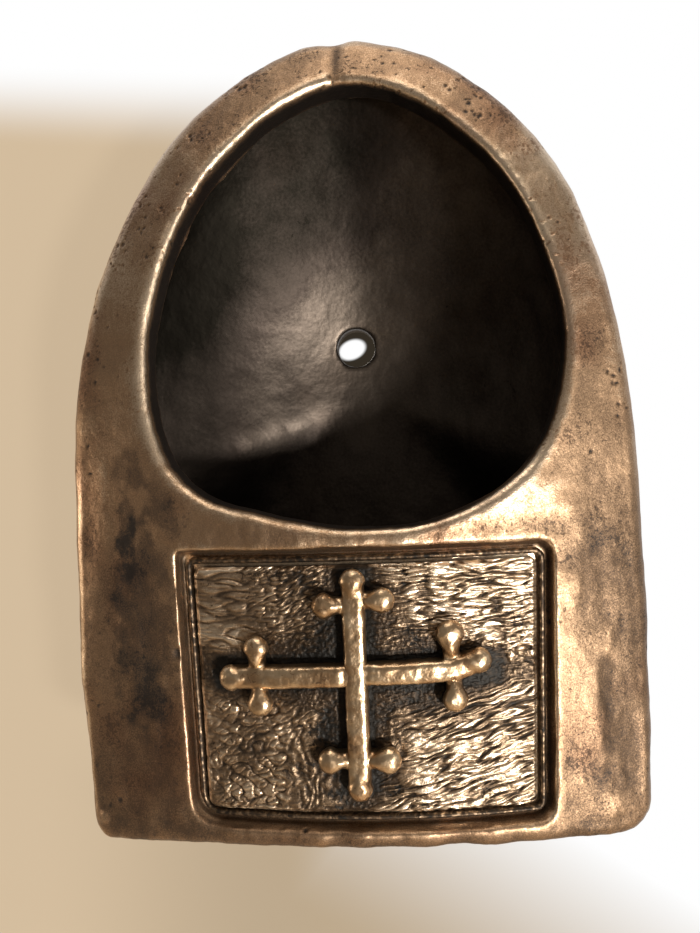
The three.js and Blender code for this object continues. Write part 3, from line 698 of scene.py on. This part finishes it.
# Plaque with its bark-like relief
bark = {
    "step": 0.1,
    "sink": 0.9,  # below the front of the slab
    "height": 0.62, "middle": 0.65,  # from the crevices to the ridges, and the level at the sink
    "swell": (6.0, 2, 139, 0.3),
    "worn": 0.5, "wornReach": (0, 0.8),
    "crossing": (1.1, -53.7), "crossReach": (19, 15), "crumbReach": (15, 13),
    # ways that the strokes run, as rise to the right, sway and seed
    "flows": {
        "level": (0.02, 0.8, 103), "fan": (0.26, 1.1, 113),
        "planks": (-0.02, 0.6, 119), "slanted": (0.34, 0.7, 125),
    },
    "swayGrain": (6.0, 1.0, 3.2), "lumpLean": 0.2,
    # fields of strokes: lowest height, then share, form, flow, length, spacing, seed and width
    "fields": {
        "upperRight": (0.14, [
            (0.44, "cracks", "level", 5.2, 0.9, 105, 0.17),
            (0.32, "cracks", "level", 3.6, 0.55, 107, 0.18)]),
        "tongues": (0.1, [
            (0.5, "cracks", "level", 3.0, 1.1, 109, 0.2),
            (0.4, "cracks", "level", 1.8, 0.6, 111, 0.25)]),
        "fan": (0.16, [
            (0.5, "cracks", "fan", 6.2, 1.15, 115, 0.15),
            (0.34, "cracks", "fan", 3.6, 0.6, 117, 0.17)]),
        "planks": (0.32, [
            (0.3, "cracks", "planks", 6.5, 1.8, 121, 0.13),
            (0.16, "cracks", "planks", 4.0, 0.8, 123, 0.25)]),
        "marks": (0.16, [
            (0.4, "cracks", "slanted", 1.9, 0.7, 127, 0.26),
            (0.26, "ridges", "slanted", 1.2, 0.6, 128, 0.3)]),
        "patches": (0.22, [
            (0.28, "cracks", "planks", 3.0, 2.0, 129, 0.13),
            (0.2, "cracks", "slanted", 1.8, 1.1, 130, 0.2)]),
        "lumps": (0.3, [(0.4, "ridges", "lumps", 0.9, 1.3, 133, 0.35)]),
        "scrapes": (-0.05, [(0.1, "ridges", "level", 1.4, 0.3, 137, 0.4)]),
    },
    # smooth patches in the fan, and bumps on the patches at the lower left
    "smooth": ((5.0, 1.0, 2.4), 2, 114), "smoothFrom": (0.0, 0.3), "smoothHeight": 0.95, "smoothShare": 0.6,
    "fanShare": 0.86, "bumps": (1.5, 2, 131), "bumpFrom": (-0.2, 0.35), "bumpHeight": 0.14,
    # where the fields meet, in millimetres from the crossing, moved about by a stray
    "stray": (6.0, 2, 101, 3.5),
    "right": (-2, 4),
    "marksFrom": (-18, -12), "marksTo": (-1, -5), "marksAbove": (0, 4), "marksShare": 0.8,
    "tonguesBelow": (7, 3), "tonguesFrom": (9, 13), "fanBelow": (1, -4), "fanStray": 0.5,
    "patchesBelow": (0, -5), "patchStray": 0.6,
    "lumpsFrom": (-13, -9), "lumpsBelow": (-7, -10), "lumpsLeft": (-20, -23),
    "lumpStray": 0.4, "lumpShare": 0.7,
    # crumbs pushed up beside the cross, and a dark hollow along it
    "crumbTaper": 0.4, "crumbsWithin": (7.5, 3.5), "crumbKeep": 0.3, "crumbHeight": 0.17,
    "stipple": (0.6, 2, 135), "stippleFrom": (-0.3, 0.4),
    "hollowWithin": (3.6, 1.8), "hollowDrop": 0.4,
    # patina, with painted light towards the right
    "ground": 0.04, "heightShine": 0.8, "patina": (9.0, 2, 141, 0.25), "hollowShade": 0.2,
    "borderShine": 0.3, "borderReach": (0, 0.9), "backTone": 0.3,
    "rightPaintedLight": 0.12, "rightLightAcross": (6, 18), "rightLightUp": (-60, -50),
    "leftShine": 0.05, "leftAcross": (-5, -12),
}

print("plaque")
lowCorner, highCorner = (np.array(c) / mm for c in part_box("relief_plaque"))
sourcePlaque = workCopy(["relief_plaque"], "sourcePlaque")
source = readPoints(sourcePlaque.data)
bpy.data.objects.remove(sourcePlaque)
columns, _, rows = ((highCorner - lowCorner) / bark["step"]).astype(int)
zLine = np.linspace(lowCorner[2], highCorner[2], rows)


def sideLine(hand):
    # the right or left side of the plaque at each height, from the border of its solid
    flatPoints = [Vector((x, z)) for x, _, z in source]
    border = source[geometry.convex_hull_2d(flatPoints)]
    middleX = (lowCorner[0] + highCorner[0]) / 2
    chain = border[(border[:, 0] - middleX) * hand > 0]
    chain = chain[np.argsort(chain[:, 2])]
    return np.interp(zLine, chain[:, 2], chain[:, 0])


leftLine, rightLine = sideLine(-1), sideLine(1)
gridX = leftLine[:, None] + (rightLine - leftLine)[:, None] * np.linspace(0, 1, columns)[None, :]
flatX, flatZ = gridX.ravel(), np.repeat(zLine, columns)
at = np.stack([flatX, np.zeros_like(flatX), flatZ], 1)


def flowed(x, z, rise, sway, seed):
    # places along and across strokes that rise to the right and sway by a noise
    drift = patterned(np.stack([x, 0 * x, z], 1), bark["swayGrain"], 2, seed, sway)
    return np.stack([x, 0 * x, z - rise * x + drift], 1)


def strokes(flows, name):
    # a field of broad ridges, or of smooth ground with thin cracks
    height, layers = bark["fields"][name]
    for share, form, flow, along, spacing, seed, width in layers:
        wave = noise(flows[flow], (along, 1.0, spacing), seed)
        if form == "ridges":
            height = height + share * smoothStep(-width, width, wave)
        else:
            height = height + share * smoothStep(0.0, width, np.abs(wave))
    return height


def barkRelief(at):
    x, z = at[:, 0] - bark["crossing"][0], at[:, 2] - bark["crossing"][1]
    stray = patterned(at, *bark["stray"])
    flows = {name: flowed(x, z, *values) for name, values in bark["flows"].items()}
    flows["lumps"] = np.stack([x + bark["lumpLean"] * z + stray, 0 * x, z], 1)
    # long thin cracks at the upper right, and a fan of long ridges that rise at the lower right
    upperRight, tongues = strokes(flows, "upperRight"), strokes(flows, "tongues")
    smooth = smoothStep(*bark["smoothFrom"], layered(flows["fan"], *bark["smooth"]))
    fan = blend(strokes(flows, "fan"), bark["smoothHeight"], bark["smoothShare"] * smooth) * bark["fanShare"]
    # soft planks at the upper left, with short slanting tool marks towards the cross
    planks, marks = strokes(flows, "planks"), strokes(flows, "marks")
    # flat patches at the lower left with single cracks and a few lumps
    bumps = smoothStep(*bark["bumpFrom"], layered(at, *bark["bumps"]))
    patches = strokes(flows, "patches") + bark["bumpHeight"] * bumps

    right = smoothStep(*bark["right"], x + stray)
    height = blend(planks, upperRight, right)
    toMarks = smoothStep(*bark["marksFrom"], x + stray) * smoothStep(*bark["marksTo"], x)
    toMarks *= smoothStep(*bark["marksAbove"], z + stray)
    height = blend(height, marks, bark["marksShare"] * toMarks)
    toTongues = right * smoothStep(*bark["tonguesBelow"], z + stray) * smoothStep(*bark["tonguesFrom"], x)
    height = blend(height, tongues, toTongues)
    height = blend(height, fan, right * smoothStep(*bark["fanBelow"], z + bark["fanStray"] * stray))
    low = smoothStep(*bark["patchesBelow"], z + bark["patchStray"] * stray) * (1 - right)
    height = blend(height, patches, low)
    toLumps = smoothStep(*bark["lumpsFrom"], x + stray) * smoothStep(*bark["lumpsBelow"], z + stray)
    toLumps += smoothStep(*bark["lumpsLeft"], x + bark["lumpStray"] * stray)
    height = blend(height, strokes(flows, "lumps"), bark["lumpShare"] * np.clip(toLumps, 0, 1) * low)
    # the cross pushed the wax up in crumbs beside it, and left a dark hollow along it
    farX, farZ = np.abs(x), np.abs(z)
    wide, high = bark["crumbReach"]
    besideUpright = farX + bark["crumbTaper"] * np.maximum(0, farZ - high)
    besideArms = farZ + bark["crumbTaper"] * np.maximum(0, farX - wide)
    crumbs = smoothStep(*bark["crumbsWithin"], np.minimum(besideUpright, besideArms) + stray)
    stipple = smoothStep(*bark["stippleFrom"], layered(at, *bark["stipple"]))
    height = blend(height, bark["crumbKeep"] * height + bark["crumbHeight"] * stipple, crumbs)
    # fine strokes all over, where the wax was scraped
    height = height + strokes(flows, "scrapes")
    wide, high = bark["crossReach"]
    fromCross = np.minimum(np.maximum(farX, farZ - high), np.maximum(farZ, farX - wide))
    hollow = smoothStep(*bark["hollowWithin"], fromCross)
    return height * (1 - bark["hollowDrop"] * hollow), hollow


height, hollow = barkRelief(at)
depth = bark["sink"] + (bark["middle"] - height) * bark["height"] + patterned(at, *bark["swell"])
# worn round at its edges
fromSide = np.minimum(flatX - np.repeat(leftLine, columns), np.repeat(rightLine, columns) - flatX)
inset = np.minimum(np.minimum(flatZ - lowCorner[2], highCorner[2] - flatZ), fromSide)
depth += bark["worn"] * (1 - smoothStep(*bark["wornReach"], inset)) ** 2
flatY = frontDepth(flatX, flatZ) + depth
backY = frontDepth(flatX, flatZ) + (source[:, 1] - frontDepth(source[:, 0], source[:, 2])).max()
frontPoints = np.stack([flatX, flatY, flatZ], 1)
index = np.arange(rows * columns).reshape(rows, columns)
quads = np.stack([index[:-1, :-1], index[:-1, 1:], index[1:, 1:], index[1:, :-1]], -1).reshape(-1, 4)
ring = np.concatenate([index[0, :], index[1:, -1], index[-1, -2::-1], index[-2:0:-1, 0]])
wall = np.arange(len(ring)) + rows * columns
backPoints = np.stack([flatX[ring], backY[ring], flatZ[ring]], 1)
sides = np.stack([ring, wall, np.roll(wall, -1), np.roll(ring, -1)], 1)
mesh = bpy.data.meshes.new("barkPlaqueSkin")
mesh.from_pydata(
    np.vstack([frontPoints, backPoints]).tolist(), [],
    quads.tolist() + sides.tolist() + [wall[::-1].tolist()],
)
mesh.validate()
tone = bark["ground"] + bark["heightShine"] * height + patterned(at, *bark["patina"])
tone += bark["borderShine"] * (1 - smoothStep(*bark["borderReach"], inset)) - bark["hollowShade"] * hollow
# painted light towards the right of the plaque
tone += bark["rightPaintedLight"] * smoothStep(*bark["rightLightAcross"], flatX) * smoothStep(*bark["rightLightUp"], flatZ)
tone += bark["leftShine"] * smoothStep(*bark["leftAcross"], flatX)
writeRelief(mesh, np.concatenate([tone, np.full(len(ring), bark["backTone"])]))
plaque = bpy.data.objects.new("barkPlaqueSkin", mesh)
scene.collection.objects.link(plaque)
place(plaque, ["relief_plaque"], barkBronze)


# Budded cross: uneven, hand-rolled bars and buds
cross = {
    "voxel": 0.15, "evenRounds": 6,
    "swell": 0.08,  # makes up for what the evening takes off
    "lumpSize": 4.5, "lumpHeight": 0.13, "dentSize": 1.6, "dentHeight": 0.12,
    "sink": 0.6,  # seated in the plaque
    # the arms run into the upright and dip under it
    "end": 0.3, "join": 1.2, "dip": 0.2, "dipWithin": (2.6, 1.6),
    "edgeReach": 0.25, "edgeRounds": 10, "edgeShine": 0.5,
    "ground": 0.12, "proudShine": 0.42, "proudFrom": (0.1, -0.9), "patchSize": 3.0, "patchShare": 0.2,
}

print("cross")
for node, name, hand, seed in (
    ("cross_upright", "crossUprightSkin", 0, 151),
    ("cross_arm_left", "crossArmLeftSkin", -1, 157),
    ("cross_arm_right", "crossArmRightSkin", 1, 163),
):
    part = workCopy([node], name)
    sunk(part, cross["sink"])
    if hand:
        points = readPoints(part.data)
        outwards = points[:, 0] * hand
        points[:, 0] -= np.where(outwards < outwards.min() + cross["end"], hand * cross["join"], 0)
        writePoints(part.data, points)
    voxels(part, cross["voxel"])
    soften(part, cross["evenRounds"])
    skin = readPoints(part.data)
    if hand:
        skin[:, 1] += cross["dip"] * smoothStep(*cross["dipWithin"], np.abs(skin[:, 0] - bark["crossing"][0]))
        writePoints(part.data, skin)
    lumps = patterned(skin, cross["lumpSize"], 2, seed, cross["lumpHeight"])
    dents = patterned(skin, cross["dentSize"], 2, seed + 1, cross["dentHeight"])
    press(part, lumps + dents + cross["swell"])
    edge = edgeHeight(part, cross["edgeReach"], cross["edgeRounds"]) - 0.5
    skin = readPoints(part.data)
    fromPlaque = skin[:, 1] - frontDepth(skin[:, 0], skin[:, 2]) - bark["sink"]
    worn = cross["proudShine"] * smoothStep(*cross["proudFrom"], fromPlaque) + cross["edgeShine"] * edge
    worn += patterned(skin, cross["patchSize"], 2, seed + 2, cross["patchShare"])
    writeRelief(part.data, cross["ground"] + worn)
    place(part, [node], brightCross)


# Pale wall right behind the font and a pale floor well below it, in metres
room = {
    "wallSize": 1.6, "wallGap": 0.0006, "wallHeight": 0.2,  # its middle, above the hanging hole
    "floorSize": 4.0, "floorLevel": -0.6,
    "wallPaint": "#a99c88", "floorPaint": "#e3d3bd",
    "wallGlow": "#d7c0a1", "glowShare": 0.85,  # tones the shadows on the wall down
    "shadeFrom": (-0.075, -0.02), "shadeBelow": (-0.075, -0.09), "shade": 0.27,  # under the font
    # painted shade on the wall seen through the hanging hole, where it glows only faintly
    "holeEdge": (0.0045, 0.0075), "holeShadeGlow": 0.05,
    # painted light: the wall burns out to white to the right, less so low down, and above a slanting line
    "whiteFrom": (-0.02, 0.02),
    "lowSlope": 1.62, "whiteLow": (-0.2025, -0.1204), "lowCurve": 1.5,
    "topSlope": 0.12, "whiteAbove": (0.039, 0.057),
    # painted light, a spot where light falls through the hanging hole
    "patchAt": (-0.00116, 0.0004), "patchReach": (0.0029, 0.002), "patchTurn": 20.0, "patchEdge": (0.8, 1.15),
    "touching": 0.004,  # what lies closer behind the wall or before it looks through it
}


def plainSurface(name, size, centre, turn, finish):
    mesh = bpy.data.meshes.new(name)
    half = size / 2
    corners = [(-half, -half, 0), (half, -half, 0), (half, half, 0), (-half, half, 0)]
    mesh.from_pydata(corners, [], [range(4)])
    obj = bpy.data.objects.new(name, mesh)
    obj.location = centre
    obj.rotation_euler = turn
    mesh.materials.append(finish)
    scene.collection.objects.link(obj)


def floorPaint():
    # matt emulsion paint
    material = newMaterial("floorPaint")
    tree = material.node_tree
    surface = addNode(tree, "ShaderNodeBsdfDiffuse", {"Color": toLinear(room["floorPaint"])})
    addNode(tree, "ShaderNodeOutputMaterial", {}, {"Surface": surface})
    return material


def wallPaint():
    # Matt emulsion paint with painted light on it for the camera and for reflections: a glow tones its
    # shadows down, a painted shadow darkens it under the font, painted shade fills the hanging hole with a
    # painted spot of light in it, and it burns out to white at the right and above the shade. Seen from
    # behind, or from right before it, it lets everything through.
    material = newMaterial("wallPaint")
    tree = material.node_tree
    where = addNode(tree, "ShaderNodeTexCoord").outputs["Object"]
    path = addNode(tree, "ShaderNodeLightPath").outputs
    split = addNode(tree, "ShaderNodeSeparateXYZ", {}, {"Vector": where})
    across = split.outputs["X"]
    up = addNode(tree, "ShaderNodeMath", {"operation": "ADD", 1: room["wallHeight"]}, {0: split.outputs["Y"]})
    lowLine = addNode(tree, "ShaderNodeMath", {
        "operation": "MULTIPLY_ADD", 1: room["lowSlope"]}, {0: up, 2: across})
    topLine = addNode(tree, "ShaderNodeMath", {
        "operation": "MULTIPLY_ADD", 1: room["topSlope"]}, {0: across, 2: up})
    fromHole = addNode(tree, "ShaderNodeVectorMath", {
        "operation": "DISTANCE", 1: (0, -room["wallHeight"], 0)}, {0: where}).outputs["Value"]
    patchX, patchZ = room["patchAt"]
    laid = addNode(tree, "ShaderNodeMapping", {
        "vector_type": "TEXTURE",
        "Location": (patchX, patchZ - room["wallHeight"], 0),
        "Rotation": (0, 0, math.radians(room["patchTurn"])),
        "Scale": (*room["patchReach"], 1.0),
    }, {"Vector": where})
    fromPatch = addNode(tree, "ShaderNodeVectorMath", {"operation": "LENGTH"}, {0: laid}).outputs["Value"]

    step = {}
    for use, value, easing, low, high, toLow, toHigh in (
        ("right", across, "SMOOTHSTEP", *room["whiteFrom"], 0.0, 1.0),
        ("low", lowLine, "LINEAR", *room["whiteLow"], 0.0, 1.0),
        ("top", topLine, "SMOOTHSTEP", *room["whiteAbove"], 0.0, 1.0),
        ("outOfHole", fromHole, "SMOOTHSTEP", *room["holeEdge"], 0.0, 1.0),
        ("holeShadeGlow", fromHole, "SMOOTHSTEP", *room["holeEdge"], room["holeShadeGlow"], 1.0),
        ("glowShare", fromHole, "SMOOTHSTEP", *room["holeEdge"], 1.0, room["glowShare"]),
        ("patch", fromPatch, "SMOOTHSTEP", *room["patchEdge"], 1.0, 0.0),
        ("shadeAcross", across, "SMOOTHSTEP", *room["shadeFrom"], 0.0, 1.0),
        ("shadeDown", up, "SMOOTHSTEP", *reversed(room["shadeBelow"]), room["shade"], 0.0),
    ):
        step[use] = addNode(tree, "ShaderNodeMapRange", {
            "interpolation_type": easing,
            "From Min": low, "From Max": high, "To Min": toLow, "To Max": toHigh,
        }, {"Value": value})

    # the camera and reflections see the white; everything else sees plain paint
    looking = path["Is Camera Ray"]
    for kind in ("Is Glossy Ray", "Is Transmission Ray"):
        looking = addNode(tree, "ShaderNodeMath", {"operation": "MAXIMUM"}, {0: looking, 1: path[kind]})
    white = addNode(tree, "ShaderNodeMath", {"operation": "POWER", 1: room["lowCurve"]}, {0: step["low"]})
    for operation, other in (
        ("MINIMUM", step["right"]), ("MAXIMUM", step["top"]), ("MULTIPLY", step["outOfHole"]),
        ("MAXIMUM", step["patch"]), ("MULTIPLY", looking),
    ):
        white = addNode(tree, "ShaderNodeMath", {"operation": operation}, {0: white, 1: other})
    shade = addNode(tree, "ShaderNodeMath", {
        "operation": "MULTIPLY"}, {0: step["shadeAcross"], 1: step["shadeDown"]})
    strength = addNode(tree, "ShaderNodeMath", {"operation": "SUBTRACT"}, {0: step["holeShadeGlow"], 1: shade})
    share = addNode(tree, "ShaderNodeMath", {"operation": "MULTIPLY"}, {0: looking, 1: step["glowShare"]})
    paint = addNode(tree, "ShaderNodeBsdfDiffuse", {"Color": toLinear(room["wallPaint"])})
    glow = addNode(tree, "ShaderNodeEmission", {"Color": toLinear(room["wallGlow"])}, {"Strength": strength})
    burnt = addNode(tree, "ShaderNodeEmission", {"Color": (1, 1, 1, 1), "Strength": 1.0})
    clear = addNode(tree, "ShaderNodeBsdfTransparent")
    unseen = addNode(tree, "ShaderNodeMath", {
        "operation": "LESS_THAN", 1: room["touching"]}, {0: path["Ray Length"]})
    behind = addNode(tree, "ShaderNodeNewGeometry").outputs["Backfacing"]
    for other in (behind, path["Is Shadow Ray"]):
        unseen = addNode(tree, "ShaderNodeMath", {"operation": "MAXIMUM"}, {0: unseen, 1: other})
    surface = paint
    for amount, other in ((share, glow), (white, burnt), (unseen, clear)):
        surface = addNode(tree, "ShaderNodeMixShader", {}, {0: amount, 1: surface, 2: other})
    addNode(tree, "ShaderNodeOutputMaterial", {}, {"Surface": surface})
    return material


print("stage")
wallMiddle = (0, room["wallGap"], room["wallHeight"])
plainSurface("paleWall", room["wallSize"], wallMiddle, (math.pi / 2, 0, 0), wallPaint())
plainSurface("paleFloor", room["floorSize"], (0, 0, room["floorLevel"]), (0, 0, 0), floorPaint())

# round lamps as place, aim, size, watts and colour
lamps = {
    "keyFromLowerRight": ((0.38, -0.64, -0.275), (0, 0, -0.01), 0.1, 7.6, "#fffaf2"),
    "windowAtRight": ((0.62, -0.45, 0.10), (0, 0, 0.0), 0.35, 0.9, "#fff8ee"),
    "paleWallAtLeft": ((-0.5, -0.06, -0.05), (0, -0.04, -0.03), 0.07, 0.26, "#ffe9cf"),
    "softFromBehind": ((-0.35, 0.9, 0.35), (0, 0, -0.01), 0.5, 5.0, "#fff3e4"),
    "softFromAbove": ((0.06, -0.3, 0.8), (0, 0, 0), 0.5, 2.7, "#fff3e4"),
}
for name, (spot, aim, size, watts, code) in lamps.items():
    light = bpy.data.lights.new(name, "AREA")
    light.shape = "DISK"
    light.size = size
    light.energy = watts
    light.color = toLinear(code)[:3]
    lamp = bpy.data.objects.new(name, light)
    lamp.location = spot
    lamp.rotation_euler = (Vector(aim) - Vector(spot)).to_track_quat("-Z", "Y").to_euler()
    scene.collection.objects.link(lamp)

world = bpy.data.worlds.new("room")
world.use_nodes = True
scene.world = world
world.node_tree.nodes.clear()
air = addNode(world.node_tree, "ShaderNodeBackground", {"Color": toLinear("#fff4e6"), "Strength": 0.2})
addNode(world.node_tree, "ShaderNodeOutputWorld", {}, {"Surface": air})

# Camera close in front, a little right of the middle and slightly rolled
camera = {
    "place": (10.96, -153.26, -23.57), "yaw": -5.03, "roll": 2.3,
    "focal": 750.0, "frameHeight": 933.0,  # in pixels
    "sensor": 36.0, "nearest": 0.005,
}
lens = bpy.data.cameras.new("closeView")
lens.sensor_fit = "VERTICAL"
lens.sensor_height = camera["sensor"]
lens.lens = camera["sensor"] * camera["focal"] / camera["frameHeight"]
lens.clip_start = camera["nearest"]
view = bpy.data.objects.new("closeView", lens)
yaw, roll = math.radians(camera["yaw"]), math.radians(camera["roll"])
ahead = Vector((math.sin(yaw), math.cos(yaw), 0))
level = Vector((math.cos(yaw), -math.sin(yaw), 0))
up = Vector((0, 0, 1)) * math.cos(roll) + level * math.sin(roll)
across = level * math.cos(roll) - Vector((0, 0, 1)) * math.sin(roll)
turn = Matrix((across, up, -ahead)).transposed().to_4x4()
view.matrix_world = Matrix.Translation(Vector(camera["place"]) * mm) @ turn
scene.collection.objects.link(view)
scene.camera = view
scene.view_settings.view_transform = "Standard"
